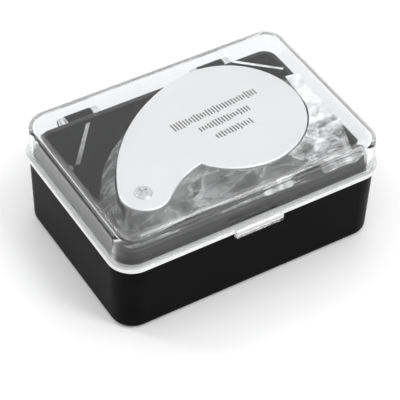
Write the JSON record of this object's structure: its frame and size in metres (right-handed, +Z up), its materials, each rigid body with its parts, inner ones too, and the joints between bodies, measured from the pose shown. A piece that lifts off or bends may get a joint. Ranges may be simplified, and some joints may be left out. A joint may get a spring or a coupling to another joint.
{
  "type": "jewelers loupe",
  "caption": "Folding illuminated pocket loupe with a swing-out lens in a comma-shaped metal cover, lying on its film bag in a black case with a hinged clear lid.",
  "frame": {"origin": "centre of the case's underside", "axes": "+Z up, +X along the case's long side to the right, -Y towards the catch tab, hinge at +Y"},
  "size_m": [0.0792, 0.0608, 0.0331],
  "materials": {
    "black_case": "moulded, satin gloss",
    "clear_lid": "crystal clear moulding",
    "clear_film": "thin crumpled film",
    "silver_cover": "satin silver",
    "silver_holder": "satin silver",
    "screw_steel": "turned steel",
    "nylon": "natural nylon",
    "optical_glass": "polished lens",
    "black_barrel": "black anodised",
    "cell_steel": "plated cell can",
    "led_resin": "clear epoxy",
    "board": "solder mask",
    "black_plastic": "moulded",
    "contact_brass": "sprung brass strip"
  },
  "bodies": {
    "case": {"case_base": "black_case", "bag_bed": "clear_film", "bag_wrap": "clear_film", "bag_bunch": "clear_film"},
    "lid": {"case_lid": "clear_lid"},
    "covers": {"top_cover": "silver_cover", "bottom_cover": "silver_cover", "cover_screws": "screw_steel", "pivot_post": "screw_steel", "pivot_screw": "screw_steel", "seat_washer": "nylon", "friction_washer": "screw_steel"},
    "lens": {"lens_holder": "silver_holder", "lower_lens": "optical_glass", "lens_spacer": "black_barrel", "upper_lens": "optical_glass", "retaining_ring": "black_barrel", "battery_1": "cell_steel", "battery_2": "cell_steel", "battery_3": "cell_steel", "led_left": "led_resin", "led_right": "led_resin", "led_board": "board", "lamp_cover": "black_plastic", "positive_contact": "contact_brass", "negative_contact": "contact_brass", "switch_housing": "black_plastic"},
    "cap": {"battery_cap": "silver_holder"},
    "knob": {"switch_knob": "black_plastic"}
  },
  "joints": [
    {"name": "lid_hinge", "type": "hinge", "parent": "case", "child": "lid", "pos_m": [0, 0.03, 0.021], "axis": [-1, 0, 0], "range_deg": [0, 180]},
    {"name": "loupe_lift", "type": "slide", "parent": "case", "child": "covers", "axis": [0, 0, 1], "range_m": [0, 0.0376]},
    {"name": "lens_swing", "type": "hinge", "parent": "covers", "child": "lens", "pos_m": [-0.02419, -0.01159, 0.022], "axis": [0, 0, -1], "range_deg": [0, 175]},
    {"name": "battery_cap_turn", "type": "hinge", "parent": "lens", "child": "cap", "pos_m": [-0.01671, -0.00398, 0.0165], "axis": [0, 0, -1], "range_deg": [0, 60]},
    {"name": "lamp_switch_slide", "type": "slide", "parent": "lens", "child": "knob", "axis": [0.9252, 0.3795, 0], "range_m": [0, 0.002]}
  ],
  "couplings": [
    {"joint": "lid_hinge", "follows": "loupe_lift", "rad_per_m": 83.333},
    {"joint": "lens_swing", "follows": "loupe_lift", "rad_per_m": 20.833}
  ]
}
